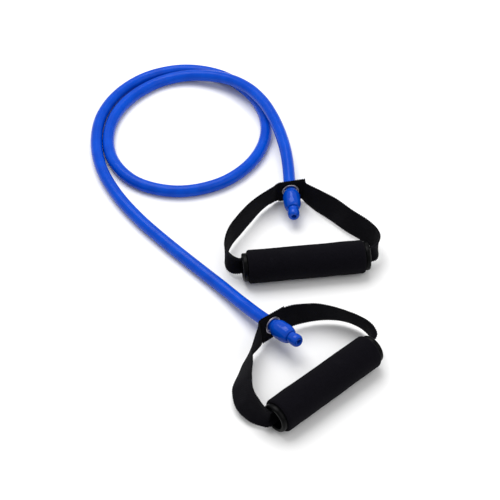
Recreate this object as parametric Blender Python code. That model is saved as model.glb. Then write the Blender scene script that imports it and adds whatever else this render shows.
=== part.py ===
"""Resistance band: an elastic tube with a webbing and foam handle at each end.

Metres, +Z up. The band lies on z = 0 as if put down on a table. Handle A's grip runs along X; the
tube leaves its grommet, makes one loop that crosses over itself, and comes back to handle B.
"""

from math import atan2, cos, hypot, pi, radians, sin

import bmesh
import bpy
from mathutils import Matrix, Vector

# Fits
GAP = 0.0003
LAYER_GAP = 0.0003

# Elastic tube and its swollen ends
TUBE_DIAMETER = 0.0122
TUBE_BORE = 0.0060
TUBE_POINTS = 76
TUBE_PLAY = 0.0005
TUBE_LEAD = 0.0030
SWELL_DIAMETER = 0.0172
SWELL_LENGTH = 0.0230
SWELL_RAMP = 0.0065
SWELL_SHOULDER = 0.0060
NECK_PROUD = 0.0012
TUBE_END_WALL = 0.0027

# Stopper plug inside each swollen end
STOPPER_START = 0.0045
STOPPER_RAMP = 0.0060
STOPPER_TIP_RADIUS = 0.0022
STOPPER_NECK_RADIUS = 0.0040
NOSE_DIAMETER = 0.0118
NOSE_LENGTH = 0.0107
NOSE_EDGE = 0.0009
NOSE_HOLE_DIAMETER = 0.0046
NOSE_HOLE_DEPTH = 0.0080

# Grommet: an eyelet set over a washer
EYELET_WALL = 0.0006
EYELET_RIM = 0.0015
EYELET_RIM_DEPTH = 0.0009
EYELET_LIP = 0.0009
EYELET_LIP_DEPTH = 0.0008
WASHER_THICKNESS = 0.0008

# Webbing strap
WEBBING_WIDTH = 0.0250
WEBBING_THICKNESS = 0.0015
FLAT_RIGHT = 0.0105
FLAT_LEFT = 0.0105
INNER_END = 0.0132
OUTER_END = 0.0162
HOLE_RISE = 0.0012
STRAP_PLAY = 0.0004
MOUTH_RUN = 0.0015
STRAP_STRIPS = 6
ARM_STEPS = 3

# Grip: pipe core, two flanged bushes and a foam sleeve
GRIP_LENGTH = 0.1216
BUSH_BORE = 0.0195
BUSH_SLEEVE_WALL = 0.0015
BUSH_SLEEVE_LENGTH = 0.0140
BUSH_FLANGE_DIAMETER = 0.0270
BUSH_FLANGE_THICKNESS = 0.0046
BUSH_EDGE = 0.0010
CORE_WALL = 0.0015
FOAM_DIAMETER = 0.0322
FOAM_SHOULDER = 0.0025
GRIP_SIDES = 24
RING_SIDES = 24

# How each handle lies. The apex is the grommet's centre from the middle of the grip; swivel_turn and
# swivel_rise aim the tube's axis, in degrees, away from straight at the grip and level. Each arm's points
# are: across in half grip lengths, along in apex distances, height in metres, lean in degrees (top edge
# outwards) and curl as a share of the curl in the bore.
HANDLES = {
    "a": {
        "location": (0.0059, 0.0436),
        "turn": 0.0,
        "apex": (0.0002, 0.1010, 0.0007),
        "swivel_turn": -3.0,
        "swivel_rise": -3.0,
        "inner_roll": 5.0,
        "outer_roll": 8.0,
        "right_arm": [
            (0.26, 0.925, 0.0, 4, 0.0),
            (0.425, 0.805, 0.0, 14, 0.0),
            (0.605, 0.685, 0.0, 19, 0.0),
            (0.83, 0.498, 0.0, 18, 0.0),
            (1.055, 0.334, 0.0, 15, 0.0),
            (1.165, 0.225, 0.0, 9, 0.0),
            (1.205, 0.13, 0.0, 1, 0.15),
            (1.13, 0.038, 0.0, 0, 0.65),
        ],
        "left_arm": [
            (0.33, 0.950, -0.0004, -8, 0.0),
            (0.47, 0.885, -0.0004, -5, 0.0),
            (0.72, 0.732, 0.0, 5, 0.0),
            (0.92, 0.585, 0.0, 7, 0.0),
            (1.1, 0.434, 0.0, 5, 0.0),
            (1.2, 0.294, 0.0, 3, 0.1),
            (1.235, 0.195, 0.0, 0, 0.05),
            (1.215, 0.115, 0.0, -3, 0.2),
            (1.13, 0.04, 0.0, -2, 0.6),
        ],
    },
    "b": {
        "location": (-0.0010, -0.1056),
        "turn": 34.5,
        "apex": (0.0113, 0.0809, 0.0013),
        "swivel_turn": -1.0,
        "swivel_rise": 11.0,
        "inner_roll": 0.0,
        "outer_roll": -4.0,
        "right_arm": [
            (0.53, 0.950, 0.0008, 9, 0.0),
            (0.71, 0.882, 0.0006, 2, 0.0),
            (0.845, 0.815, 0.0006, -2, 0.0),
            (0.98, 0.715, 0.0006, -10, 0.0),
            (1.09, 0.602, 0.0006, -16, 0.0),
            (1.16, 0.496, 0.0006, -18, 0.1),
            (1.215, 0.365, 0.0003, -16, 0.1),
            (1.225, 0.235, 0.0, -10, 0.2),
            (1.19, 0.132, 0.0, -3, 0.4),
            (1.12, 0.040, 0.0, 0, 0.8),
        ],
        "left_arm": [
            (0.10, 0.965, 0.0008, 6, 0.0),
            (0.28, 0.902, 0.0012, -4, 0.0),
            (0.485, 0.830, 0.0010, -20, 0.0),
            (0.68, 0.714, 0.0010, -32, 0.0),
            (0.905, 0.578, 0.001, -45, 0.0),
            (1.06, 0.398, 0.0005, -40, 0.0),
            (1.09, 0.222, 0.0, -25, 0.1),
            (1.075, 0.102, 0.0, -8, 0.4),
            (1.062, 0.03, 0.0, 0, 0.85),
        ],
    },
}

# The tube's route from handle A's grommet to handle B's, lying on z = 0 or on its own first turn
ROUTE = [
    (0.0084, 0.1746, 0.0183),
    (0.0094, 0.2021, 0.0191),
    (0.0079, 0.2296, 0.0192),
    (0.0039, 0.2566, 0.0192),
    (-0.0031, 0.2821, 0.0195),
    (-0.0146, 0.3061, 0.0187),
    (-0.0311, 0.3271, 0.0158),
    (-0.0526, 0.3421, 0.0120),
    (-0.0791, 0.3501, 0.0085),
    (-0.1046, 0.3471, 0.0066),
    (-0.1291, 0.3331, 0.0064),
    (-0.1483, 0.3138, 0.0064),
    (-0.1618, 0.2902, 0.0064),
    (-0.1687, 0.2646, 0.0064),
    (-0.1667, 0.2229, 0.0064),
    (-0.1454, 0.1864, 0.0064),
    (-0.1051, 0.1676, 0.0064),
    (-0.0611, 0.1741, 0.0064),
    (-0.0266, 0.2006, 0.0064),
    (-0.0066, 0.2381, 0.0064),
    (-0.0031, 0.2786, 0.0064),
    (-0.0151, 0.3171, 0.0064),
    (-0.0406, 0.3486, 0.0064),
    (-0.0791, 0.3636, 0.0064),
    (-0.1201, 0.3566, 0.0064),
    (-0.1531, 0.3316, 0.0064),
    (-0.1741, 0.2966, 0.0064),
    (-0.1821, 0.2561, 0.0064),
    (-0.1796, 0.2141, 0.0064),
    (-0.1671, 0.1731, 0.0064),
    (-0.1476, 0.1341, 0.0064),
    (-0.1231, 0.0961, 0.0064),
    (-0.0966, 0.0586, 0.0064),
    (-0.0771, 0.0306, 0.0074),
    (-0.0586, 0.0011, 0.0105),
]

# Places that follow from the sizes above, along the swivel axis from the middle of the grommet
STACK_HALF = WEBBING_THICKNESS + LAYER_GAP / 2
RIM_FACE = STACK_HALF + GAP + EYELET_RIM_DEPTH
WASHER_FACE = STACK_HALF + GAP + WASHER_THICKNESS
LIP_FACE = WASHER_FACE + GAP + EYELET_LIP_DEPTH
NECK_START = -LIP_FACE - NECK_PROUD
SWELL_START = RIM_FACE + 2 * GAP
SWELL_END = SWELL_START + SWELL_LENGTH

EYELET_BORE = TUBE_DIAMETER + 2 * TUBE_PLAY
EYELET_BARREL = EYELET_BORE + 2 * EYELET_WALL
STRAP_HOLE = EYELET_BARREL + 2 * GAP
STOPPER_RADIUS = SWELL_DIAMETER / 2 - TUBE_END_WALL - GAP

CURL_RADIUS = BUSH_BORE / 2 - STRAP_PLAY - WEBBING_THICKNESS / 2
FULL_CURL = WEBBING_WIDTH / CURL_RADIUS
SLEEVE_DIAMETER = BUSH_BORE + 2 * BUSH_SLEEVE_WALL
CORE_BORE = SLEEVE_DIAMETER + 2 * GAP
CORE_DIAMETER = CORE_BORE + 2 * CORE_WALL
CORE_LENGTH = GRIP_LENGTH - 2 * (BUSH_FLANGE_THICKNESS + GAP)
GRIP_AXIS_HEIGHT = FOAM_DIAMETER / 2 * cos(pi / GRIP_SIDES)

UP = Vector((0, 0, 1))


def clear_scene():
    """Take every object out of the open scene."""
    for thing in list(bpy.data.objects):
        bpy.data.objects.remove(thing, do_unlink=True)


def finish_material(name, colour, roughness, metallic=0.0):
    """A Principled material with one colour and finish."""
    material = bpy.data.materials.new(name)
    material.use_nodes = True
    shader = material.node_tree.nodes["Principled BSDF"]
    shader.inputs["Base Color"].default_value = (*colour, 1.0)
    shader.inputs["Roughness"].default_value = roughness
    shader.inputs["Metallic"].default_value = metallic
    material.diffuse_color = (*colour, 1.0)
    return material


def add_empty(name, matrix):
    """An empty that holds one joint's axis along its own X."""
    empty = bpy.data.objects.new(name, None)
    empty.empty_display_size = 0.02
    empty.matrix_world = matrix
    bpy.context.collection.objects.link(empty)
    return empty


def add_solid(name, bm, parent, material, smooth_angle=35):
    """Turn a bmesh into a named object with outward normals, on its parent's axis."""
    bmesh.ops.recalc_face_normals(bm, faces=bm.faces)
    if bm.calc_volume(signed=True) < 0:
        bmesh.ops.reverse_faces(bm, faces=bm.faces)
    mesh = bpy.data.meshes.new(name)
    bm.to_mesh(mesh)
    bm.free()
    mesh.shade_smooth()
    mesh.set_sharp_from_angle(angle=radians(smooth_angle))
    mesh.materials.append(material)
    solid = bpy.data.objects.new(name, mesh)
    solid.parent = parent
    bpy.context.collection.objects.link(solid)
    return solid


def turned(name, profile, sides, parent, material, closed=True):
    """Spin a profile of (along X, radius) about X, with a flat side facing down."""
    bm = bmesh.new()
    start = -pi / 2 + pi / sides
    points = [bm.verts.new((x, r * cos(start), r * sin(start))) for x, r in profile]
    edges = [bm.edges.new(pair) for pair in zip(points, points[1:])]
    if closed:
        edges.append(bm.edges.new((points[-1], points[0])))
    bmesh.ops.spin(
        bm,
        geom=points + edges,
        cent=(0, 0, 0),
        axis=(1, 0, 0),
        angle=2 * pi,
        steps=sides,
        use_merge=True,
    )
    bmesh.ops.remove_doubles(bm, verts=bm.verts, dist=1e-6)
    return add_solid(name, bm, parent, material)


def smooth_curve(points, first_direction, last_direction, steps):
    """Cubic curve through points of any dimension; the directions say how it leaves and arrives."""
    count = len(points)
    spans = [(b - a).length for a, b in zip(points, points[1:])]
    slopes = [first_direction]
    for i in range(1, count - 1):
        before, after = spans[i - 1], spans[i]
        rise = (points[i] - points[i - 1]) * (after / before) + (points[i + 1] - points[i]) * (before / after)
        slopes.append(rise / (before + after))
    slopes.append(last_direction)
    line = []
    for i, span in enumerate(spans):
        for k in range(steps):
            t = k / steps
            line.append(
                points[i] * (2 * t**3 - 3 * t**2 + 1)
                + slopes[i] * (span * (t**3 - 2 * t**2 + t))
                + points[i + 1] * (3 * t**2 - 2 * t**3)
                + slopes[i + 1] * (span * (t**3 - t**2))
            )
    line.append(points[-1])
    return line


def evenly_spaced(line, count):
    """Points at equal steps of length along a fine line."""
    reach = [0.0]
    for a, b in zip(line, line[1:]):
        reach.append(reach[-1] + (b - a).length)
    points, k = [], 0
    for i in range(count):
        target = reach[-1] * i / (count - 1)
        while k < len(line) - 2 and reach[k + 1] < target:
            k += 1
        share = (target - reach[k]) / (reach[k + 1] - reach[k])
        points.append(line[k].lerp(line[k + 1], share))
    return points


def grip_matrix(handle):
    """World place of a handle: the middle of its grip, X along the grip, Y towards the grommet."""
    x, y = handle["location"]
    return Matrix.Translation((x, y, GRIP_AXIS_HEIGHT)) @ Matrix.Rotation(radians(handle["turn"]), 4, "Z")


def swivel_matrix(handle):
    """Place of the grommet in its handle: X along the tube towards the grip, Z up the strap's width."""
    turn = radians(handle["swivel_turn"] - 90)
    rise = radians(handle["swivel_rise"])
    along = Vector((cos(turn) * cos(rise), sin(turn) * cos(rise), sin(rise)))
    across = UP.cross(along).normalized()
    up = along.cross(across)
    turned_to = Matrix((along, across, up)).transposed().to_4x4()
    return Matrix.Translation(handle["apex"]) @ turned_to


def arm_points(handle, side):
    """An arm's points in the handle's frame as (x, y, z, lean, curl)."""
    half, reach = GRIP_LENGTH / 2, handle["apex"][1]
    sign = 1 if side == "right_arm" else -1
    return [
        (sign * across * half, along * reach, height, radians(lean), curl)
        for across, along, height, lean, curl in handle[side]
    ]


def strap_stations(handle):
    """Stations along the strap's middle, from its inner end round the loop to its outer end."""
    place = swivel_matrix(handle)
    roll = radians(handle["outer_roll"])
    inner_roll = radians(handle["inner_roll"])
    inner_across = Vector((0, cos(inner_roll), sin(inner_roll)))
    outer_across = Vector((0, cos(roll), sin(roll)))
    lean = radians(handle["swivel_rise"])
    layer = (WEBBING_THICKNESS + LAYER_GAP) / 2
    half_bore = GRIP_LENGTH / 2 + MOUTH_RUN
    bore_offset = CURL_RADIUS * cos(FULL_CURL / 2)

    def at_grommet(depth, across, shift):
        point = place @ (Vector((depth, 0, -HOLE_RISE)) + across * shift)
        return (*point, lean, 0.0)

    def turned_to(across):
        return place.to_3x3() @ across

    def as_station(values, direction):
        return Vector(values[:3]), direction, values[3], values[4]

    def arm(start, start_direction, middle, end, end_direction):
        """Positions follow one smooth curve; lean and curl ease between the same points."""
        ends = [start, *middle, end]
        line = smooth_curve([Vector(p[:3]) for p in ends], start_direction, end_direction, ARM_STEPS)
        stations = []
        for k, point in enumerate(line):
            i, part = divmod(k, ARM_STEPS)
            j = min(i + 1, len(ends) - 1)
            ease = part / ARM_STEPS
            angle = ends[i][3] + (ends[j][3] - ends[i][3]) * ease
            curl = ends[i][4] + (ends[j][4] - ends[i][4]) * ease
            if k == 0:
                direction = start_direction
            elif k == len(line) - 1:
                direction = end_direction
            else:
                direction = (line[k + 1] - line[k - 1]).normalized()
            stations.append((point, direction, angle, curl))
        return stations

    into_bore = Vector((-1, 0, 0))
    right_mouth = (half_bore, bore_offset, 0.0, 0.0, 1.0)
    left_mouth = (-half_bore, bore_offset, 0.0, 0.0, 1.0)
    stations = [as_station(at_grommet(layer, inner_across, -INNER_END), turned_to(inner_across))]
    stations += arm(
        at_grommet(layer, inner_across, FLAT_RIGHT),
        turned_to(inner_across),
        arm_points(handle, "right_arm"),
        right_mouth,
        into_bore,
    )
    stations += arm(
        left_mouth,
        into_bore,
        arm_points(handle, "left_arm")[::-1],
        at_grommet(-layer, outer_across, -FLAT_LEFT),
        turned_to(outer_across),
    )
    stations.append(as_station(at_grommet(-layer, outer_across, OUTER_END), turned_to(outer_across)))
    return stations


def webbing_section(station):
    """The strap's cross-section at a station: inner row and outer row of points across the width."""
    centre, along, lean, curl = station
    upright = (UP - along * UP.dot(along)).normalized()
    outwards = upright.cross(along)
    width = upright * cos(lean) + outwards * sin(lean)
    normal = outwards * cos(lean) - upright * sin(lean)
    angle = curl * FULL_CURL
    rows = ([], [])
    for k in range(STRAP_STRIPS + 1):
        share = k / STRAP_STRIPS - 0.5
        if angle < 0.01:
            middle = centre + width * (WEBBING_WIDTH * share)
            inwards = -normal
        else:
            radius = WEBBING_WIDTH / angle
            bend = share * angle
            middle = centre + width * (radius * sin(bend)) - normal * (radius * (cos(bend) - cos(angle / 2)))
            inwards = width * sin(bend) - normal * cos(bend)
        rows[0].append(middle + inwards * (WEBBING_THICKNESS / 2))
        rows[1].append(middle - inwards * (WEBBING_THICKNESS / 2))
    return rows


def build_strap(name, handle, swivel, material):
    """One band of webbing from overlapped end to overlapped end, pierced for the grommet."""
    to_swivel = swivel_matrix(handle).inverted()
    bm = bmesh.new()
    rings = []
    for station in strap_stations(handle):
        inner, outer = webbing_section(station)
        rings.append([bm.verts.new(to_swivel @ p) for p in inner + outer[::-1]])
    size = len(rings[0])
    for ring, following in zip(rings, rings[1:]):
        for k in range(size):
            m = (k + 1) % size
            bm.faces.new((ring[k], ring[m], following[m], following[k]))
    for ring in (rings[0], rings[-1]):
        for k in range(STRAP_STRIPS):
            bm.faces.new((ring[k], ring[k + 1], ring[size - 2 - k], ring[size - 1 - k]))
    strap = add_solid(name, bm, swivel, material, smooth_angle=50)

    hole = bmesh.new()
    bmesh.ops.create_cone(
        hole,
        cap_ends=True,
        segments=RING_SIDES,
        radius1=STRAP_HOLE / 2,
        radius2=STRAP_HOLE / 2,
        depth=6 * STACK_HALF,
        matrix=Matrix.Rotation(pi / 2, 4, "Y"),
    )
    cutter = add_solid(name + "_hole", hole, swivel, material)
    cutter.hide_render = True
    cutter.display_type = "WIRE"
    cut = strap.modifiers.new("grommet hole", "BOOLEAN")
    cut.operation = "DIFFERENCE"
    cut.object = cutter
    return strap


def build_grommet(letter, swivel, material):
    """Eyelet through both layers of webbing, its lip rolled over a washer on the outside."""
    bore, barrel = EYELET_BORE / 2, EYELET_BARREL / 2
    rim, lip = barrel + EYELET_RIM, barrel + EYELET_LIP
    seat = STACK_HALF + GAP
    soft = EYELET_RIM_DEPTH * 0.4
    eyelet = [
        (RIM_FACE - soft, bore),
        (RIM_FACE, bore + soft),
        (RIM_FACE, rim - soft),
        (RIM_FACE - soft, rim),
        (seat, rim),
        (seat, barrel),
        (-WASHER_FACE - GAP, barrel),
        (-WASHER_FACE - GAP, lip),
        (-LIP_FACE, lip),
        (-LIP_FACE, bore),
    ]
    turned(f"eyelet_{letter}", eyelet, RING_SIDES, swivel, material)
    washer = [
        (-seat, barrel + GAP),
        (-seat, rim),
        (-WASHER_FACE, rim),
        (-WASHER_FACE, barrel + GAP),
    ]
    turned(f"washer_{letter}", washer, RING_SIDES, swivel, material)


def build_tube_end(letter, swivel, tube_material, stopper_material):
    """Swollen end of the tube and the stopper plug that swells it."""
    nose, hole = NOSE_DIAMETER / 2, NOSE_HOLE_DIAMETER / 2
    first = SWELL_START + STOPPER_START
    full = first + STOPPER_RAMP
    shoulder = SWELL_END - SWELL_SHOULDER
    tip = SWELL_END + GAP + NOSE_LENGTH
    throat = STOPPER_NECK_RADIUS + GAP
    tube_end = [
        (NECK_START, TUBE_DIAMETER / 2),
        (SWELL_START, TUBE_DIAMETER / 2),
        (SWELL_START + SWELL_RAMP * 0.45, TUBE_DIAMETER * 0.2 + SWELL_DIAMETER * 0.3),
        (SWELL_START + SWELL_RAMP, SWELL_DIAMETER / 2),
        (shoulder, SWELL_DIAMETER / 2),
        (SWELL_END - SWELL_SHOULDER / 3, throat + TUBE_END_WALL * 1.25),
        (SWELL_END, throat + TUBE_END_WALL * 0.75),
        (SWELL_END, throat),
        (SWELL_END - SWELL_SHOULDER / 3, throat),
        (shoulder, STOPPER_RADIUS + GAP),
        (full, STOPPER_RADIUS + GAP),
        (first - GAP, TUBE_BORE / 2),
        (NECK_START, TUBE_BORE / 2),
    ]
    turned(f"tube_end_{letter}", tube_end, RING_SIDES, swivel, tube_material)
    stopper = [
        (first, 0.0),
        (first, STOPPER_TIP_RADIUS),
        (full + GAP, STOPPER_RADIUS),
        (shoulder - GAP, STOPPER_RADIUS),
        (SWELL_END - SWELL_SHOULDER / 3 - GAP, STOPPER_NECK_RADIUS),
        (SWELL_END + GAP, STOPPER_NECK_RADIUS),
        (SWELL_END + GAP, nose),
        (tip - NOSE_EDGE, nose),
        (tip, nose - NOSE_EDGE),
        (tip, hole),
        (tip - NOSE_HOLE_DEPTH, hole),
        (tip - NOSE_HOLE_DEPTH - hole / 2, 0.0),
    ]
    turned(f"stopper_{letter}", stopper, RING_SIDES, swivel, stopper_material, closed=False)


def build_grip(letter, axis, plastic, foam_material):
    """Pipe core, a flanged bush pressed into each end of it, and the foam sleeve over it."""
    half = CORE_LENGTH / 2
    core = [
        (-half, CORE_BORE / 2),
        (half, CORE_BORE / 2),
        (half, CORE_DIAMETER / 2),
        (-half, CORE_DIAMETER / 2),
    ]
    turned(f"grip_core_{letter}", core, GRIP_SIDES, axis, plastic)

    face = GRIP_LENGTH / 2
    back = face - BUSH_FLANGE_THICKNESS
    bore, sleeve, flange = BUSH_BORE / 2, SLEEVE_DIAMETER / 2, BUSH_FLANGE_DIAMETER / 2
    for end, sign in (("left", -1), ("right", 1)):
        bush = [
            (back - BUSH_SLEEVE_LENGTH, bore),
            (face - BUSH_EDGE, bore),
            (face, bore + BUSH_EDGE),
            (face, flange - BUSH_EDGE),
            (face - BUSH_EDGE, flange),
            (back, flange),
            (back, sleeve),
            (back - BUSH_SLEEVE_LENGTH, sleeve),
        ]
        profile = [(sign * x, r) for x, r in bush]
        turned(f"end_bush_{letter}_{end}", profile, GRIP_SIDES, axis, plastic)

    inside, outside = CORE_DIAMETER / 2 + GAP, FOAM_DIAMETER / 2
    bevel = FOAM_SHOULDER * 0.29
    foam = [
        (-half, inside),
        (half, inside),
        (half, outside - FOAM_SHOULDER),
        (half - bevel, outside - bevel),
        (half - FOAM_SHOULDER, outside),
        (-half + FOAM_SHOULDER, outside),
        (-half + bevel, outside - bevel),
        (-half, outside - FOAM_SHOULDER),
    ]
    turned(f"foam_grip_{letter}", foam, GRIP_SIDES, axis, foam_material)


def build_tube(swivels, material):
    """The elastic tube between the two swollen ends, on one smooth route."""
    exits = {key: swivel @ Vector((NECK_START - GAP, 0, 0)) for key, swivel in swivels.items()}
    leaving = {key: swivel.to_3x3() @ Vector((-1, 0, 0)) for key, swivel in swivels.items()}
    leads = {key: exits[key] + leaving[key] * TUBE_LEAD for key in exits}
    points = [leads["a"], *(Vector(p) for p in ROUTE), leads["b"]]
    line = smooth_curve(points, leaving["a"], -leaving["b"], 12)
    curve = bpy.data.curves.new("elastic_tube", "CURVE")
    curve.dimensions = "3D"
    curve.bevel_depth = TUBE_DIAMETER / 2
    curve.bevel_resolution = 4
    curve.use_fill_caps = True
    spline = curve.splines.new("POLY")
    places = [exits["a"], *evenly_spaced(line, TUBE_POINTS), exits["b"]]
    spline.points.add(len(places) - 1)
    for point, place in zip(spline.points, places):
        point.co = (*place, 1.0)
    curve.materials.append(material)
    tube = bpy.data.objects.new("elastic_tube", curve)
    bpy.context.collection.objects.link(tube)
    return tube


def main():
    clear_scene()
    latex = finish_material("blue_latex", (0.004, 0.075, 0.62), 0.38)
    stopper = finish_material("blue_stopper", (0.004, 0.08, 0.60), 0.32)
    webbing = finish_material("black_webbing", (0.012, 0.012, 0.014), 0.85)
    foam = finish_material("black_foam", (0.010, 0.010, 0.011), 0.95)
    plastic = finish_material("black_plastic", (0.010, 0.010, 0.012), 0.30)
    nickel = finish_material("nickel_plate", (0.62, 0.62, 0.64), 0.25, 1.0)

    swivels = {}
    for letter, handle in HANDLES.items():
        grip_place = grip_matrix(handle)
        swivels[letter] = grip_place @ swivel_matrix(handle)
        swivel = add_empty(f"swivel_axis_{letter}", swivels[letter])
        grip = add_empty(f"grip_axis_{letter}", grip_place)
        build_tube_end(letter, swivel, latex, stopper)
        build_strap(f"webbing_strap_{letter}", handle, swivel, webbing)
        build_grommet(letter, swivel, nickel)
        build_grip(letter, grip, plastic, foam)
    build_tube(swivels, latex)


main()
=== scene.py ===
from math import cos, pi, radians, sin

import bpy
import bmesh
from mathutils import Matrix, Vector, noise


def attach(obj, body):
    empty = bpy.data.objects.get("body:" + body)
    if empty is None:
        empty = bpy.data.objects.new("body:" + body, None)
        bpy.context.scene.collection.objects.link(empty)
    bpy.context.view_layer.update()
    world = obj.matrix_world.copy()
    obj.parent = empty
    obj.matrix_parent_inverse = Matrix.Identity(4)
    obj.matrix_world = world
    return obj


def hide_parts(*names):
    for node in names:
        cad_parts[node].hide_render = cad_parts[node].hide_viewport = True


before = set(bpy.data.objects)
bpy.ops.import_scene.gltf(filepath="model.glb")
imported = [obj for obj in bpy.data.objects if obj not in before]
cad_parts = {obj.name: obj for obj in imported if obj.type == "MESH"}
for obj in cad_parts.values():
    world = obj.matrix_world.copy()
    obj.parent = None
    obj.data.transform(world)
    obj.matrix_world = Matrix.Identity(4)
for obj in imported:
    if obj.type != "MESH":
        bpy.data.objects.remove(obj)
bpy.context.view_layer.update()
up = Vector((0, 0, 1))

print("camera")
view = {"place": (-0.16886, -0.90007, 0.98995), "target": (-0.04267, 0.08181, 0.0), "lens": 103.68}
cameraData = bpy.data.cameras.new("camera")
cameraData.lens = view["lens"]
cameraData.sensor_width = 36.0
cameraData.clip_end = 20.0
camera = bpy.data.objects.new("camera", cameraData)
camera.location = view["place"]
looking = Vector(view["target"]) - Vector(view["place"])
camera.rotation_euler = looking.to_track_quat("-Z", "Y").to_euler()
bpy.context.scene.collection.objects.link(camera)
bpy.context.scene.camera = camera
bpy.context.scene.view_settings.view_transform = "Standard"


# a socket that can be used in expressions: each operator adds its Math node
class Wire:
    def __init__(self, finish, socket):
        self.finish, self.socket = finish, socket

    def math(self, operation, *others):
        sockets = dict(enumerate((self, *others)))
        return self.finish.node("ShaderNodeMath", {"operation": operation}, sockets)

    def __add__(self, other):
        return self.math("ADD", other)

    def __sub__(self, other):
        return self.math("SUBTRACT", other)

    def __mul__(self, other):
        return self.math("MULTIPLY", other)

    def __rsub__(self, other):
        return self.finish.node("ShaderNodeMath", {"operation": "SUBTRACT"}, {0: other, 1: self})

    __radd__ = __add__
    __rmul__ = __mul__

    def sine(self):
        return self.math("SINE")

    def above(self, low, high):
        # 0 below low, 1 above high, eased between them
        settings = {"interpolation_type": "SMOOTHSTEP"}
        sockets = {"Value": self, "From Min": low, "From Max": high}
        return self.finish.node("ShaderNodeMapRange", settings, sockets)


# one material: node() makes any node, settings first and then its sockets
class Finish:
    def __init__(self, name, fixed):
        self.material = bpy.data.materials.new(name)
        self.material.use_nodes = True
        self.tree = self.material.node_tree
        self.shader = self.tree.nodes["Principled BSDF"]
        for socket, value in fixed.items():
            self.shader.inputs[socket].default_value = value
        self.column = 0

    def node(self, kind, settings=None, sockets=None, output=0):
        made = self.tree.nodes.new(kind)
        self.column -= 1
        made.location = (self.column * 180, (self.column % 4) * 160)
        for key, value in (settings or {}).items():
            if key == "stops":
                self.setStops(made.color_ramp, value)
            else:
                setattr(made, key, value)
        for key, value in (sockets or {}).items():
            if isinstance(value, Wire):
                self.tree.links.new(value.socket, made.inputs[key])
            else:
                made.inputs[key].default_value = value
        return Wire(self, made.outputs[output])

    def setStops(self, ramp, stops):
        while len(ramp.elements) < len(stops):
            ramp.elements.new(1.0)
        for element, (place, colour) in zip(ramp.elements, stops):
            element.position = place
            element.color = (*colour, 1.0)

    def place(self):
        return self.node("ShaderNodeTexCoord", None, None, "Object")

    def noise(self, scale, detail=3.0, roughness=0.55):
        sockets = {"Vector": self.place(), "Scale": scale, "Detail": detail, "Roughness": roughness}
        return self.node("ShaderNodeTexNoise", None, sockets, "Fac")

    def cells(self, scale):
        sockets = {"Vector": self.place(), "Scale": scale}
        return self.node("ShaderNodeTexVoronoi", {"feature": "F1"}, sockets, "Distance")

    def clothPlace(self):
        # along and across the cloth, in metres
        at = self.node("ShaderNodeUVMap", {"uv_map": "cloth"}, None, "UV")
        along = self.node("ShaderNodeSeparateXYZ", None, {"Vector": at}, "X")
        across = self.node("ShaderNodeSeparateXYZ", None, {"Vector": at}, "Y")
        return along, across

    def blend(self, share, low, high):
        # an RGBA Mix node keeps its two colours in sockets 6 and 7 and its result in output 2
        made = self.node("ShaderNodeMix", {"data_type": "RGBA"}, {"Factor": share}, 2)
        for key, colour in ((6, low), (7, high)):
            socket = made.socket.node.inputs[key]
            if isinstance(colour, Wire):
                self.tree.links.new(colour.socket, socket)
            else:
                socket.default_value = (*colour, 1.0)
        return made

    def bump(self, height, distance, strength=1.0, under=None):
        sockets = {"Height": height, "Distance": distance, "Strength": strength}
        if under:
            sockets["Normal"] = under
        return self.node("ShaderNodeBump", None, sockets, "Normal")

    def feeds(self, **links):
        names = {"colour": "Base Color", "roughness": "Roughness", "normal": "Normal"}
        for key, wire in links.items():
            self.tree.links.new(wire.socket, self.shader.inputs[names[key]])
        return self.material


print("materials")
weaveSize = {"row": 0.0022, "yarn": 0.0020, "twistAlong": 3900.0, "twistAcross": 5200.0}


def blueTubeFinish(name, light, dark, rough, gloss):
    # drawn latex: faint mottling, a dusty bloom in patches and fine draw marks
    finish = Finish(name, {"Specular IOR Level": gloss, "IOR": 1.5})
    mottle = finish.noise(60.0, 4.0)
    bloom = finish.noise(22.0, 5.0, 0.65).above(0.52, 0.72)
    grain = finish.noise(900.0, 3.0, 0.6)
    colour = finish.blend(mottle.above(0.3, 0.7), dark, light)
    dustyBlue = (0.012, 0.13, 0.62)
    dusty = finish.blend(bloom * 0.08, colour, dustyBlue)
    roughness = rough + bloom * 0.10 + grain * 0.06
    normal = finish.bump(grain, 0.00006, 0.5, finish.bump(mottle, 0.0003, 0.25))
    return finish.feeds(colour=dusty, roughness=roughness, normal=normal)


def blackWebbingFinish(name):
    # yarns over and under each other: each yarn's crown is painted lighter and each dip painted darker
    # as painted shade, with the yarn's own fuzz and twist mixed in
    finish = Finish(name, {"Sheen Weight": 0.02, "Sheen Roughness": 0.5, "Specular IOR Level": 0.05})
    along, across = finish.clothPlace()
    rows = (along * (2 * pi / weaveSize["row"])).sine()
    yarns = (across * (2 * pi / weaveSize["yarn"])).sine()
    weave = rows * yarns * 0.5 + 0.5
    twist = ((along * weaveSize["twistAlong"]) + (across * weaveSize["twistAcross"])).sine() * 0.5 + 0.5
    hair = finish.noise(1600.0, 3.0, 0.7)
    worn = finish.noise(45.0, 4.0, 0.6).above(0.45, 0.75)
    # painted highlight and shade: the weave term lightens the crowns and darkens the dips; hair and
    # twist are the yarn's own fuzz and twist
    lift = weave.above(0.35, 0.95) * 0.55 + hair * 0.30 + twist * 0.15
    colour = finish.blend(lift, (0.0010, 0.0009, 0.0018), (0.0048, 0.0044, 0.0070))
    greyer = finish.blend(worn * 0.25, colour, (0.011, 0.0105, 0.0145))
    roughness = 0.86 - weave * 0.14 + hair * 0.08
    normal = finish.bump(hair, 0.00010, 0.5, finish.bump(weave * 0.8 + twist * 0.2, 0.00028, 0.8))
    return finish.feeds(colour=greyer, roughness=roughness, normal=normal)


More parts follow.
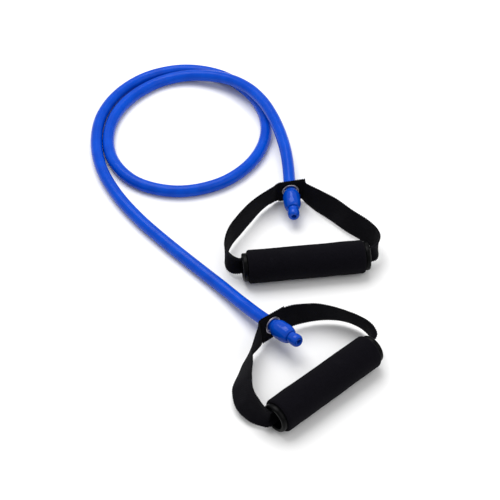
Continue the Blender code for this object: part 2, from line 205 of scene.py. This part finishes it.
def blackFoamFinish(name):
    # skinned closed-cell foam: tiny pits painted darker as painted shade, a few larger ones, pale
    # scuffs
    finish = Finish(name, {"Sheen Weight": 0.01, "Sheen Roughness": 0.6, "Specular IOR Level": 0.035})
    pits = finish.cells(1500.0)
    pores = finish.cells(520.0)
    dents = finish.noise(110.0, 4.0, 0.6)
    scuff = finish.noise(38.0, 6.0, 0.7).above(0.55, 0.78)
    cellTops = pits.above(0.05, 0.65)
    # painted shade: the pits are painted darker than the cell tops around them
    colour = finish.blend(cellTops, (0.0010, 0.0009, 0.0017), (0.0038, 0.0034, 0.0055))
    scuffed = finish.blend(scuff * 0.22, colour, (0.010, 0.0095, 0.0135))
    roughness = 0.98 - cellTops * 0.10 - scuff * 0.08
    normal = finish.bump(pores.above(0.02, 0.35), 0.00012, 0.5, finish.bump(dents, 0.0006, 0.4))
    fine = finish.bump(cellTops, 0.00010, 0.7, normal)
    return finish.feeds(colour=scuffed, roughness=roughness, normal=fine)


def blackPlasticFinish(name):
    # moulded plastic: gloss with fine scratches and a trace of dust
    finish = Finish(name, {"Specular IOR Level": 0.07, "IOR": 1.5})
    cloud = finish.noise(90.0, 4.0, 0.6)
    dust = finish.noise(420.0, 4.0, 0.7).above(0.55, 0.80)
    colour = finish.blend(dust * 0.35, (0.0006, 0.0007, 0.0010), (0.005, 0.0055, 0.0065))
    roughness = 0.24 + cloud * 0.14 + dust * 0.20
    normal = finish.bump(cloud, 0.00015, 0.3, finish.bump(finish.noise(1300.0, 2.0), 0.00003, 0.4))
    return finish.feeds(colour=colour, roughness=roughness, normal=normal)


def nickelFinish(name):
    # plated steel: fine turned lines, duller where it has been handled
    finish = Finish(name, {"Metallic": 1.0, "Specular IOR Level": 0.5})
    stain = finish.noise(260.0, 5.0, 0.6)
    pitted = finish.noise(1800.0, 3.0, 0.7).above(0.58, 0.80)
    colour = finish.blend(stain.above(0.35, 0.75), (0.42, 0.40, 0.46), (0.27, 0.26, 0.31))
    darker = finish.blend(pitted * 0.5, colour, (0.20, 0.19, 0.22))
    roughness = 0.20 + stain * 0.20 + pitted * 0.20
    normal = finish.bump(stain, 0.00008, 0.4, finish.bump(pitted, 0.00003, 0.4))
    return finish.feeds(colour=darker, roughness=roughness, normal=normal)


tubeLatex = blueTubeFinish(
    "tube latex", light=(0.0, 0.066, 0.525), dark=(0.0, 0.052, 0.450), rough=0.17, gloss=0.11
)
plugRubber = blueTubeFinish(
    "stopper rubber", light=(0.0, 0.060, 0.48), dark=(0.0, 0.048, 0.41), rough=0.10, gloss=0.21
)
stretchedLatex = blueTubeFinish(
    "stretched latex", light=(0.0, 0.062, 0.50), dark=(0.0, 0.050, 0.42), rough=0.10, gloss=0.21
)
webbingCloth = blackWebbingFinish("woven webbing")
gripFoam = blackFoamFinish("grip foam")
capPlastic = blackPlasticFinish("moulded plastic")
ringNickel = nickelFinish("nickel plate")


def addPiece(name, mesh, material, body, replaced):
    piece = bpy.data.objects.new(name, mesh)
    bpy.context.scene.collection.objects.link(piece)
    mesh.materials.clear()
    mesh.materials.append(material)
    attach(piece, body)
    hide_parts(*replaced)
    return piece


def smoothCurve(points, firstWay, lastWay, steps):
    # a cubic through every point; the two ways say how it leaves and arrives
    spans = [(b - a).length for a, b in zip(points, points[1:])]
    slopes = [firstWay]
    for i in range(1, len(points) - 1):
        before, after = spans[i - 1], spans[i]
        arriving, leaving = points[i] - points[i - 1], points[i + 1] - points[i]
        rise = arriving * (after / before) + leaving * (before / after)
        slopes.append(rise / (before + after))
    slopes.append(lastWay)
    line = []
    for i, span in enumerate(spans):
        for k in range(steps):
            t = k / steps
            line.append(
                points[i] * (2 * t**3 - 3 * t**2 + 1)
                + slopes[i] * (span * (t**3 - 2 * t**2 + t))
                + points[i + 1] * (3 * t**2 - 2 * t**3)
                + slopes[i + 1] * (span * (t**3 - t**2))
            )
    line.append(points[-1])
    return line


def reachAlong(line):
    reach = [0.0]
    for a, b in zip(line, line[1:]):
        reach.append(reach[-1] + (b - a).length)
    return reach


def evenlySpaced(line, count):
    reach = reachAlong(line)
    points, k = [], 0
    for i in range(count):
        target = reach[-1] * i / (count - 1)
        while k < len(line) - 2 and reach[k + 1] < target:
            k += 1
        share = (target - reach[k]) / (reach[k + 1] - reach[k])
        points.append(line[k].lerp(line[k + 1], share))
    return points


def roundedProfile(corners, softness, closed=True, arcSteps=4):
    # each corner (along, radius) becomes a short arc where there is room for it
    count = len(corners)
    mostOfSide = 0.42  # leaves a straight piece between two corners
    made = []
    for i, corner in enumerate(corners):
        here = Vector(corner)
        if not closed and i in (0, count - 1):
            made.append(here)
            continue
        before, after = Vector(corners[i - 1]), Vector(corners[(i + 1) % count])
        room = min(softness, (before - here).length * mostOfSide, (after - here).length * mostOfSide)
        start = here + (before - here).normalized() * room
        end = here + (after - here).normalized() * room
        for k in range(arcSteps + 1):
            t = k / arcSteps
            made.append(start * (1 - t) ** 2 + here * (2 * t * (1 - t)) + end * t**2)
    return made


def turnedMesh(name, profile, place, sides=96, closed=True, shape=None):
    # spins (along, radius) about the place's X; shape may move each finished point
    bm = bmesh.new()
    rings = []
    for along, radius in profile:
        if radius < 1e-7:
            rings.append([bm.verts.new((along, 0, 0))])
            continue
        ring = []
        for k in range(sides):
            angle = 2 * pi * k / sides
            ring.append(bm.verts.new((along, radius * cos(angle), radius * sin(angle))))
        rings.append(ring)
    pairs = list(zip(rings, rings[1:]))
    if closed:
        pairs.append((rings[-1], rings[0]))
    for a, b in pairs:
        for k in range(sides):
            m = (k + 1) % sides
            if len(a) == 1:
                bm.faces.new((a[0], b[m], b[k]))
            elif len(b) == 1:
                bm.faces.new((a[k], a[m], b[0]))
            else:
                bm.faces.new((a[k], a[m], b[m], b[k]))
    for vert in bm.verts:
        vert.co = place @ vert.co
        if shape:
            vert.co = shape(vert.co)
    bmesh.ops.recalc_face_normals(bm, faces=bm.faces)
    if bm.calc_volume(signed=True) < 0:
        bmesh.ops.reverse_faces(bm, faces=bm.faces)
    mesh = bpy.data.meshes.new(name)
    bm.to_mesh(mesh)
    bm.free()
    mesh.shade_smooth()
    return mesh


# where each handle lies and how its strap runs from the grommet to the grip; a strap point is
# (across in half grip lengths, along in apex distances, height in metres, lean in degrees,
# curl as a share of the curl inside the grip)
handles = {
    "a": {
        "place": (0.0059, 0.0436),
        "turn": 0,
        "apex": (0.0002, 0.1010, 0.0007),
        "swivelTurn": -3,
        "swivelRise": -3,
        "innerRoll": 5,
        "outerRoll": 8,
        "right": [
            (0.26, 0.925, 0.0, 4, 0.0),
            (0.425, 0.805, 0.0, 14, 0.0),
            (0.605, 0.685, 0.0, 19, 0.0),
            (0.83, 0.498, 0.0, 18, 0.0),
            (1.055, 0.334, 0.0, 15, 0.0),
            (1.165, 0.225, 0.0, 9, 0.0),
            (1.205, 0.13, 0.0, 1, 0.15),
            (1.13, 0.038, 0.0, 0, 0.65),
        ],
        "left": [
            (0.33, 0.950, -0.0004, -8, 0.0),
            (0.47, 0.885, -0.0004, -5, 0.0),
            (0.72, 0.732, 0.0, 5, 0.0),
            (0.92, 0.585, 0.0, 7, 0.0),
            (1.1, 0.434, 0.0, 5, 0.0),
            (1.2, 0.294, 0.0, 3, 0.1),
            (1.235, 0.195, 0.0, 0, 0.05),
            (1.215, 0.115, 0.0, -3, 0.2),
            (1.13, 0.04, 0.0, -2, 0.6),
        ],
    },
    "b": {
        "place": (-0.0010, -0.1056),
        "turn": 34.5,
        "apex": (0.0113, 0.0809, 0.0013),
        "swivelTurn": -1,
        "swivelRise": 11,
        "innerRoll": 0,
        "outerRoll": -4,
        "right": [
            (0.53, 0.950, 0.0008, 9, 0.0),
            (0.71, 0.882, 0.0006, 2, 0.0),
            (0.845, 0.815, 0.0006, -2, 0.0),
            (0.98, 0.715, 0.0006, -10, 0.0),
            (1.09, 0.602, 0.0006, -16, 0.0),
            (1.16, 0.496, 0.0006, -18, 0.1),
            (1.215, 0.365, 0.0003, -16, 0.1),
            (1.225, 0.235, 0.0, -10, 0.2),
            (1.19, 0.132, 0.0, -3, 0.4),
            (1.12, 0.040, 0.0, 0, 0.8),
        ],
        "left": [
            (0.10, 0.965, 0.0008, 6, 0.0),
            (0.28, 0.902, 0.0012, -4, 0.0),
            (0.485, 0.830, 0.001, -20, 0.0),
            (0.68, 0.714, 0.001, -32, 0.0),
            (0.905, 0.578, 0.001, -45, 0.0),
            (1.06, 0.398, 0.0005, -40, 0.0),
            (1.09, 0.222, 0.0, -25, 0.1),
            (1.075, 0.102, 0.0, -8, 0.4),
            (1.062, 0.03, 0.0, 0, 0.85),
        ],
    },
}

gripSize = {
    "length": 0.1216,
    "axisHeight": 0.01596,
    "bushBore": 0.0195,
    "sleeveWall": 0.0015,
    "sleeveLength": 0.014,
    "flange": 0.027,
    "flangeThickness": 0.0046,
    "mouthDepth": 0.0008,
    "mouthFlare": 0.0009,
    "rimFlat": 0.0012,
    "rimDrop": 0.0010,
    "softness": 0.0008,
    "gap": 0.0003,
}


def gripPlace(handle):
    x, y = handle["place"]
    turn = Matrix.Rotation(radians(handle["turn"]), 4, "Z")
    return Matrix.Translation((x, y, gripSize["axisHeight"])) @ turn


def swivelPlace(handle):
    # X along the tube towards the grip
    turn, rise = radians(handle["swivelTurn"] - 90), radians(handle["swivelRise"])
    along = Vector((cos(turn) * cos(rise), sin(turn) * cos(rise), sin(rise)))
    across = up.cross(along).normalized()
    turned = Matrix((along, across, along.cross(across))).transposed().to_4x4()
    return gripPlace(handle) @ Matrix.Translation(handle["apex"]) @ turned


print("tube")
tubeSize = {
    "diameter": 0.0122,
    "bore": 0.006,
    "lead": 0.003,
    "neckStart": -0.00505,
    "stepsPerSpan": 12,
    "points": 320,
}
tubeRoute = [
    (0.0084, 0.1746, 0.0183),
    (0.0094, 0.2021, 0.0191),
    (0.0079, 0.2296, 0.0192),
    (0.0039, 0.2566, 0.0192),
    (-0.0031, 0.2821, 0.0195),
    (-0.0146, 0.3061, 0.0187),
    (-0.0311, 0.3271, 0.0158),
    (-0.0526, 0.3421, 0.0120),
    (-0.0791, 0.3501, 0.0085),
    (-0.1046, 0.3471, 0.0066),
    (-0.1291, 0.3331, 0.0064),
    (-0.1483, 0.3138, 0.0064),
    (-0.1618, 0.2902, 0.0064),
    (-0.1687, 0.2646, 0.0064),
    (-0.1667, 0.2229, 0.0064),
    (-0.1454, 0.1864, 0.0064),
    (-0.1051, 0.1676, 0.0064),
    (-0.0611, 0.1741, 0.0064),
    (-0.0266, 0.2006, 0.0064),
    (-0.0066, 0.2381, 0.0064),
    (-0.0031, 0.2786, 0.0064),
    (-0.0151, 0.3171, 0.0064),
    (-0.0406, 0.3486, 0.0064),
    (-0.0791, 0.3636, 0.0064),
    (-0.1201, 0.3566, 0.0064),
    (-0.1531, 0.3316, 0.0064),
    (-0.1741, 0.2966, 0.0064),
    (-0.1821, 0.2561, 0.0064),
    (-0.1796, 0.2141, 0.0064),
    (-0.1671, 0.1731, 0.0064),
    (-0.1476, 0.1341, 0.0064),
    (-0.1231, 0.0961, 0.0064),
    (-0.0966, 0.0586, 0.0064),
    (-0.0771, 0.0306, 0.0074),
    (-0.0586, 0.0011, 0.0105),
]


def makeTube():
    places = {key: swivelPlace(handle) for key, handle in handles.items()}
    neck = Vector((tubeSize["neckStart"] - gripSize["gap"], 0, 0))
    exits = {key: place @ neck for key, place in places.items()}
    leaving = {key: place.to_3x3() @ Vector((-1, 0, 0)) for key, place in places.items()}
    leads = {key: exits[key] + leaving[key] * tubeSize["lead"] for key in exits}
    points = [leads["a"], *(Vector(p) for p in tubeRoute), leads["b"]]
    line = smoothCurve(points, leaving["a"], -leaving["b"], tubeSize["stepsPerSpan"])
    line = [exits["a"], *evenlySpaced(line, tubeSize["points"]), exits["b"]]
    curve = bpy.data.curves.new("elastic tube", "CURVE")
    curve.dimensions = "3D"
    curve.bevel_depth = tubeSize["diameter"] / 2
    curve.bevel_resolution = 12
    curve.use_fill_caps = True
    spline = curve.splines.new("POLY")
    spline.points.add(len(line) - 1)
    for point, at in zip(spline.points, line):
        point.co = (*at, 1.0)
    spline.use_smooth = True
    curve.materials.append(tubeLatex)
    tube = bpy.data.objects.new("elastic_tube_skin", curve)
    bpy.context.scene.collection.objects.link(tube)
    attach(tube, "band")
    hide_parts("elastic_tube")
    round(reachAlong(line)[-1], 3)


makeTube()

tubeEndSize = {
    "start": 0.00345,
    "end": 0.02645,
    "swell": 0.0172,
    "wall": 0.0027,
    "throat": 0.0043,
    "neckGap": 0.0003,
    "rise": 0.0028,
    "riseShare": 0.6,
    "shoulder": 0.0062,
    "lip": 0.0022,
    "lipWallShare": 1.25,
    "tipWallShare": 0.72,
    "hollowStart": 0.0042,
    "hollowFull": 0.0103,
    "softness": 0.0022,
    "pucker": 0.00018,
    "puckerRun": 0.005,
    "puckerScale": (160, 130, 130),
    "puckerSeed": {"a": 0, "b": 7},
}


def makeTubeEnd(key, place):
    size = tubeEndSize
    outer, bore = tubeSize["diameter"] / 2, tubeSize["bore"] / 2
    neck, start, end = tubeSize["neckStart"], size["start"], size["end"]
    swell, wall, throat = size["swell"] / 2, size["wall"], size["throat"]
    corners = [
        (neck, outer),
        (start - size["neckGap"], outer),
        (start + size["rise"], outer * (1 - size["riseShare"]) + swell * size["riseShare"]),
        (start + size["shoulder"], swell),
        (end - size["shoulder"], swell),
        (end - size["lip"], throat + wall * size["lipWallShare"]),
        (end, throat + wall * size["tipWallShare"]),
        (end, throat),
        (end - size["lip"], throat),
        (end - size["shoulder"], swell - wall),
        (start + size["hollowFull"], swell - wall),
        (start + size["hollowStart"], bore),
        (neck, bore),
    ]

    def puckered(point):
        # the stretched end isn't quite round or even
        local = place.inverted() @ point
        swollen = min(max((local.x - start) / size["puckerRun"], 0.0), 1.0)
        x, y, z = (part * scale for part, scale in zip(local, size["puckerScale"]))
        wave = noise.noise(Vector((x, y, z + size["puckerSeed"][key])))
        away = Vector((0, local.y, local.z)).normalized()
        return place @ (local + away * (wave * size["pucker"] * swollen))

    profile = roundedProfile(corners, size["softness"])
    mesh = turnedMesh(f"tube end {key}", profile, place, shape=puckered)
    addPiece(f"tube_end_{key}_skin", mesh, stretchedLatex, "band", [f"tube_end_{key}"])


stopperSize = {
    "start": 0.00795,
    "tip": 0.03745,
    "point": 0.0022,
    "body": 0.0056,
    "taper": 0.0063,
    "throat": 0.004,
    "throatRun": 0.0023,
    "collarGap": 0.0003,
    "collarEnd": 0.0030,
    "noseStart": 0.0058,
    "nose": 0.0059,
    "collarShare": 0.93,
    "noseRounding": 0.0022,
    "roundedShare": 0.98,
    "tipShare": 0.78,
    "hole": 0.0023,
    "holeDepth": 0.008,
    "holePoint": 0.0092,
    "holeTaper": 0.9,
    "softness": 0.0007,
}


def makeStopper(key, place):
    # plug that swells the tube, with a hollow nose standing out of it
    size = stopperSize
    start, end, tip = size["start"], tubeEndSize["end"], size["tip"]
    body, throat, nose, hole = size["body"], size["throat"], size["nose"], size["hole"]
    corners = [
        (start, 0.0),
        (start, size["point"]),
        (start + size["taper"], body),
        (end - size["taper"], body),
        (end - size["throatRun"], throat),
        (end + size["collarGap"], throat),
        (end + size["collarGap"], nose * size["collarShare"]),
        (end + size["collarEnd"], nose * size["collarShare"]),
        (end + size["noseStart"], nose),
        (tip - size["noseRounding"], nose * size["roundedShare"]),
        (tip, nose * size["tipShare"]),
        (tip, hole),
        (tip - size["holeDepth"], hole * size["holeTaper"]),
        (tip - size["holePoint"], 0.0),
    ]
    profile = roundedProfile(corners, size["softness"], closed=False)
    mesh = turnedMesh(f"stopper {key}", profile, place, closed=False)
    addPiece(f"stopper_{key}_skin", mesh, plugRubber, "band", [f"stopper_{key}"])


grommetSize = {
    "bore": 0.0066,
    "barrel": 0.0072,
    "rim": 0.0087,
    "seat": 0.00195,
    "crown": 0.00285,
    "crownEdge": 0.0025,
    "mouth": 0.0019,
    "lipStart": 0.00305,
    "lipEdge": 0.0035,
    "lipEnd": 0.00385,
    "lipFlare": 0.0009,
    "washerEnd": 0.00275,
    "washerGap": 0.0003,
    "eyeletSoftness": 0.0003,
    "washerSoftness": 0.0002,
}


def makeGrommet(key, place):
    size = grommetSize
    bore, barrel, seat, rim = size["bore"], size["barrel"], size["seat"], size["rim"]
    eyelet = [
        (size["mouth"], bore),
        (size["crownEdge"], bore + 0.0001),
        (size["crown"], bore + 0.0008),
        (size["crown"], rim - 0.0010),
        (size["crownEdge"], rim - 0.0002),
        (seat, rim),
        (seat, barrel),
        (-size["lipStart"], barrel),
        (-size["lipStart"], barrel + size["lipFlare"]),
        (-size["lipEdge"], barrel + 0.0008),
        (-size["lipEnd"], barrel + 0.0003),
        (-size["lipEnd"], bore + 0.0001),
    ]
    inner, end = barrel + size["washerGap"], size["washerEnd"]
    washer = [(-seat, inner), (-seat, rim), (-end, rim), (-end, inner)]
    for name, corners in (("eyelet", eyelet), ("washer", washer)):
        profile = roundedProfile(corners, size[f"{name}Softness"])
        mesh = turnedMesh(f"{name} {key}", profile, place)
        addPiece(
            f"{name}_{key}_ring", mesh, ringNickel, f"handle_{key}", [f"{name}_{key}"]
        )


print("webbing straps")
webbing = {
    "width": 0.025,
    "thickness": 0.0015,
    "layerGap": 0.0003,
    "flat": 0.0105,
    "innerEnd": 0.0132,
    "outerEnd": 0.0162,
    "holeRise": 0.0012,
    "holeRadius": 0.0075,
    "play": 0.0004,
    "mouthRun": 0.0015,
    "columns": 26,
    "pitch": weaveSize["row"],
    "relief": 0.00013,
    "selvedge": 0.00050,
    "toothPower": 0.7,
    "pullIn": 0.012,
    "edgeBand": 0.93,
    "edgeThickness": 0.80,
    "outermostThickness": 0.42,
    "stepsPerRow": 6,
    "tailSteps": 30,
    "armSteps": 24,
    "boreSteps": 60,
    "smoothing": 10,
    "holeSides": 64,
    "cutDepth": 0.010,
}


def strapStations(handle):
    # (middle, lean, curl) from the strap's inner end round to its outer end
    place = gripPlace(handle).inverted() @ swivelPlace(handle)
    roll, rise = radians(handle["outerRoll"]), radians(handle["swivelRise"])
    innerRoll = radians(handle["innerRoll"])
    innerAcross = Vector((0, cos(innerRoll), sin(innerRoll)))
    outerAcross = Vector((0, cos(roll), sin(roll)))
    layer = (webbing["thickness"] + webbing["layerGap"]) / 2
    half, reach = gripSize["length"] / 2, handle["apex"][1]
    curlRadius = gripSize["bushBore"] / 2 - webbing["play"] - webbing["thickness"] / 2
    fullCurl = webbing["width"] / curlRadius
    boreOffset = curlRadius * cos(fullCurl / 2)
    mouth = half + webbing["mouthRun"]

    def atGrommet(depth, across, shift):
        return (*(place @ (Vector((depth, 0, -webbing["holeRise"])) + across * shift)), rise, 0.0)

    def armPoints(side, sign):
        points = handle[side]
        return [(sign * x * half, y * reach, z, radians(lean), curl) for x, y, z, lean, curl in points]

    def arm(start, startWay, middle, end, endWay):
        steps = webbing["armSteps"]
        ends = [start, *middle, end]
        line = smoothCurve([Vector(p[:3]) for p in ends], startWay, endWay, steps)
        made = []
        for k, point in enumerate(line):
            i, part = divmod(k, steps)
            j = min(i + 1, len(ends) - 1)
            lean = ends[i][3] + (ends[j][3] - ends[i][3]) * part / steps
            curl = ends[i][4] + (ends[j][4] - ends[i][4]) * part / steps
            made.append([point, lean, curl])
        return made

    def straight(start, end, steps):
        a, b = Vector(start[:3]), Vector(end[:3])
        return [[a.lerp(b, k / steps), start[3], start[4]] for k in range(steps)]

    turn = place.to_3x3()
    intoBore = Vector((-1, 0, 0))
    rightMouth, leftMouth = (mouth, boreOffset, 0, 0, 1.0), (-mouth, boreOffset, 0, 0, 1.0)
    innerTail = atGrommet(layer, innerAcross, -webbing["innerEnd"])
    innerFlat = atGrommet(layer, innerAcross, webbing["flat"])
    outerFlat = atGrommet(-layer, outerAcross, -webbing["flat"])
    outerTail = atGrommet(-layer, outerAcross, webbing["outerEnd"])
    path = straight(innerTail, innerFlat, webbing["tailSteps"])
    path += arm(innerFlat, turn @ innerAcross, armPoints("right", 1), rightMouth, intoBore)
    path += straight(rightMouth, leftMouth, webbing["boreSteps"])[1:]
    path += arm(leftMouth, intoBore, armPoints("left", -1)[::-1], outerFlat, turn @ outerAcross)
    path += straight(outerFlat, outerTail, webbing["tailSteps"])[1:]
    path.append([Vector(outerTail[:3]), rise, 0.0])
    for _ in range(webbing["smoothing"]):  # no creases where the lean or curl changes
        for column in (1, 2):
            values = [station[column] for station in path]
            for k in range(1, len(path) - 1):
                path[k][column] = (values[k - 1] + values[k] * 2 + values[k + 1]) / 4
    return path, fullCurl


def resampled(path, step):
    reach = reachAlong([station[0] for station in path])
    count = max(int(reach[-1] / step), 2)
    made, k = [], 0
    for i in range(count + 1):
        target = reach[-1] * i / count
        while k < len(path) - 2 and reach[k + 1] < target:
            k += 1
        span = max(reach[k + 1] - reach[k], 1e-9)
        t = min(max((target - reach[k]) / span, 0.0), 1.0)
        a, b = path[k], path[k + 1]
        made.append((a[0].lerp(b[0], t), a[1] + (b[1] - a[1]) * t, a[2] + (b[2] - a[2]) * t, target))
    return made


def makeStrap(key, handle):
    size = webbing
    path, fullCurl = strapStations(handle)
    stations = resampled(path, size["pitch"] / size["stepsPerRow"])
    columns, half = size["columns"], size["thickness"] / 2
    place = gripPlace(handle)
    bm = bmesh.new()
    cloth = bm.loops.layers.uv.new("cloth")
    where = {}
    rings = []
    for i, (centre, lean, curl, reach) in enumerate(stations):
        ahead = stations[min(i + 2, len(stations) - 1)][0] - stations[max(i - 2, 0)][0]
        along = ahead.normalized()
        upright = (up - along * up.dot(along)).normalized()
        outwards = upright.cross(along)
        width = upright * cos(lean) + outwards * sin(lean)
        normal = outwards * cos(lean) - upright * sin(lean)
        angle = curl * fullCurl
        phase = 2 * pi * reach / size["pitch"]
        ring = []
        for side in (1, -1):
            order = range(columns + 1) if side == 1 else range(columns, -1, -1)
            for k in order:
                share = k / columns - 0.5
                if k in (0, columns):  # the selvedge: thin, toothed and without relief
                    tooth = size["selvedge"] * (2 * abs(cos(phase / 2)) ** size["toothPower"] - 1)
                    thin, lift = size["outermostThickness"], 0.0
                else:
                    tooth = 0.0
                    thin = 1.0 if abs(share) * 2 < size["edgeBand"] else size["edgeThickness"]
                    lift = size["relief"] * cos(phase + pi * (k % 2))
                spread = 1 + tooth * 2 / size["width"] - size["pullIn"]
                if angle < 0.01:
                    middle = centre + width * (size["width"] * share * spread)
                    inwards = -normal
                else:
                    radius, bend = size["width"] / angle, share * angle * spread
                    depth = radius * (cos(bend) - cos(angle / 2))
                    middle = centre + width * (radius * sin(bend)) - normal * depth
                    inwards = width * sin(bend) - normal * cos(bend)
                point = middle + inwards * (side * (half * thin - size["relief"] + lift * side))
                vert = bm.verts.new(place @ point)
                where[vert] = (reach, share * size["width"])
                ring.append(vert)
        rings.append(ring)
    count = len(rings[0])
    for ring, following in zip(rings, rings[1:]):
        for k in range(count):
            m = (k + 1) % count
            bm.faces.new((ring[k], ring[m], following[m], following[k]))
    for ring in (rings[0], rings[-1]):
        for k in range(columns):
            bm.faces.new((ring[k], ring[k + 1], ring[count - 2 - k], ring[count - 1 - k]))
    for face in bm.faces:
        for loop in face.loops:
            loop[cloth].uv = where[loop.vert]
    bmesh.ops.recalc_face_normals(bm, faces=bm.faces)
    if bm.calc_volume(signed=True) < 0:
        bmesh.ops.reverse_faces(bm, faces=bm.faces)
    mesh = bpy.data.meshes.new(f"webbing {key}")
    bm.to_mesh(mesh)
    bm.free()
    holed = cutHole(mesh, swivelPlace(handle))
    holed.shade_smooth()
    holed.set_sharp_from_angle(angle=radians(60))
    name = f"webbing_strap_{key}"
    strap = addPiece(f"{name}_cloth", holed, webbingCloth, f"handle_{key}", [name])


def cutHole(mesh, place):
    bm = bmesh.new()
    radius = webbing["holeRadius"]
    bmesh.ops.create_cone(
        bm,
        cap_ends=True,
        segments=webbing["holeSides"],
        radius1=radius,
        radius2=radius,
        depth=webbing["cutDepth"],
        matrix=place @ Matrix.Rotation(pi / 2, 4, "Y"),
    )
    cutterMesh = bpy.data.meshes.new("hole")
    bm.to_mesh(cutterMesh)
    bm.free()
    cutter = bpy.data.objects.new("hole", cutterMesh)
    cloth = bpy.data.objects.new("cloth", mesh)
    for thing in (cutter, cloth):
        bpy.context.scene.collection.objects.link(thing)
    cut = cloth.modifiers.new("hole", "BOOLEAN")
    cut.operation, cut.solver, cut.object = "DIFFERENCE", "EXACT", cutter
    bpy.context.view_layer.update()
    ready = cloth.evaluated_get(bpy.context.evaluated_depsgraph_get())
    holed = bpy.data.meshes.new_from_object(ready)
    for thing in (cutter, cloth):
        bpy.data.objects.remove(thing)
    return holed


def makeGrip(key, handle):
    size = gripSize
    place = gripPlace(handle)
    body = f"grip_{key}"
    face = size["length"] / 2
    back = face - size["flangeThickness"]
    bore, flange = size["bushBore"] / 2, size["flange"] / 2
    sleeve = bore + size["sleeveWall"]
    for end, sign in (("left", -1), ("right", 1)):
        corners = [
            (back - size["sleeveLength"], bore),
            (face - size["mouthDepth"], bore),
            (face, bore + size["mouthFlare"]),
            (face, flange - size["rimFlat"]),
            (face - size["rimDrop"], flange),
            (back, flange),
            (back, sleeve),
            (back - size["sleeveLength"], sleeve),
        ]
        profile = roundedProfile([(sign * x, r) for x, r in corners], size["softness"])
        mesh = turnedMesh(f"bush {key} {end}", profile, place)
        name = f"end_bush_{key}_{end}"
        addPiece(f"{name}_cap", mesh, capPlastic, body, [name])
    makeFoam(key, place, body, back - size["gap"])
    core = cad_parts[f"grip_core_{key}"]
    core.data.materials.clear()
    core.data.materials.append(capPlastic)


foamSize = {
    "diameter": 0.0322,
    "bore": 0.0267,
    "rings": 70,
    "boreRings": 8,
    "shoulderRings": 6,
    "sides": 120,
    "skin": 0.0006,
    "dentScale": 55,
    "dent": 0.00028,
    "pitScale": 420,
    "pit": 0.00007,
    "sink": 0.00012,
    "lowest": 0.0001,
    "seed": {"a": 0.0, "b": 3.7},
}


def makeFoam(key, place, body, half):
    # sleeve with soft shoulders, slightly uneven, pressed flat where it rests
    size = foamSize
    inner, outer = size["bore"] / 2, size["diameter"] / 2
    shoulder = outer - inner - gripSize["gap"]
    rings, boreRings, shoulderRings = size["rings"], size["boreRings"], size["shoulderRings"]
    angles = [k / shoulderRings * pi / 2 for k in range(shoulderRings + 1)]
    profile = [(-half + k * 2 * half / boreRings, inner) for k in range(boreRings + 1)]
    for angle in angles:
        profile.append((half - shoulder * (1 - cos(angle)), outer - shoulder * (1 - sin(angle))))
    for k in range(1, rings):
        profile.append(((half - shoulder) * (1 - 2 * k / rings), outer))
    for angle in angles:
        profile.append((-half + shoulder * (1 - sin(angle)), outer - shoulder * (1 - cos(angle))))
    shift = Vector((0, size["seed"][key], 0))

    def squeezed(point):
        local = place.inverted() @ point
        away = Vector((0, local.y, local.z))
        if away.length < inner + size["skin"]:
            return point
        dent = noise.noise(local * size["dentScale"] + shift) * size["dent"]
        pit = noise.noise(local * size["pitScale"] + shift) * size["pit"]
        moved = place @ (local + away.normalized() * (dent + pit - size["sink"]))
        moved.z = max(moved.z, size["lowest"])
        return moved

    mesh = turnedMesh(f"foam {key}", profile, place, sides=size["sides"], shape=squeezed)
    foam = addPiece(f"foam_grip_{key}_sleeve", mesh, gripFoam, body, [f"foam_grip_{key}"])


for key, handle in handles.items():
    print("handle", key)
    place = swivelPlace(handle)
    makeTubeEnd(key, place)
    makeStopper(key, place)
    makeGrommet(key, place)
    makeStrap(key, handle)
    makeGrip(key, handle)

print("floor and light")
studio = {
    "floor": 6.0,
    "ambient": 0.60,
    "aim": (0, 0.1, 0),
    "softbox": {"power": 26.5, "size": 1.4, "at": (-0.25, 0.75, 1.6)},
    "fill": {"power": 5.0, "size": 1.2, "at": (0.9, -0.6, 1.1)},
}


def makeFloor():
    bm = bmesh.new()
    bmesh.ops.create_grid(bm, x_segments=2, y_segments=2, size=studio["floor"] / 2)
    mesh = bpy.data.meshes.new("floor")
    bm.to_mesh(mesh)
    bm.free()
    floor = bpy.data.objects.new("floor", mesh)
    bpy.context.scene.collection.objects.link(floor)
    paper = Finish("white paper", {"Specular IOR Level": 0.0, "Roughness": 1.0})
    tone = paper.blend(paper.noise(6.0, 2.0), (0.90, 0.90, 0.90), (0.93, 0.93, 0.93))
    mesh.materials.append(paper.feeds(colour=tone))


def makeLight(name):
    lampSize = studio[name]
    light = bpy.data.lights.new(name, "AREA")
    light.energy, light.size = lampSize["power"], lampSize["size"]
    lamp = bpy.data.objects.new(name, light)
    lamp.location = lampSize["at"]
    aim = Vector(studio["aim"]) - Vector(lampSize["at"])
    lamp.rotation_euler = aim.to_track_quat("-Z", "Y").to_euler()
    bpy.context.scene.collection.objects.link(lamp)


makeFloor()
world = bpy.data.worlds.new("studio")
world.use_nodes = True
backdrop = world.node_tree.nodes["Background"]
backdrop.inputs["Color"].default_value = (1.0, 1.0, 1.0, 1.0)
backdrop.inputs["Strength"].default_value = studio["ambient"]
bpy.context.scene.world = world
for name in ("softbox", "fill"):
    makeLight(name)
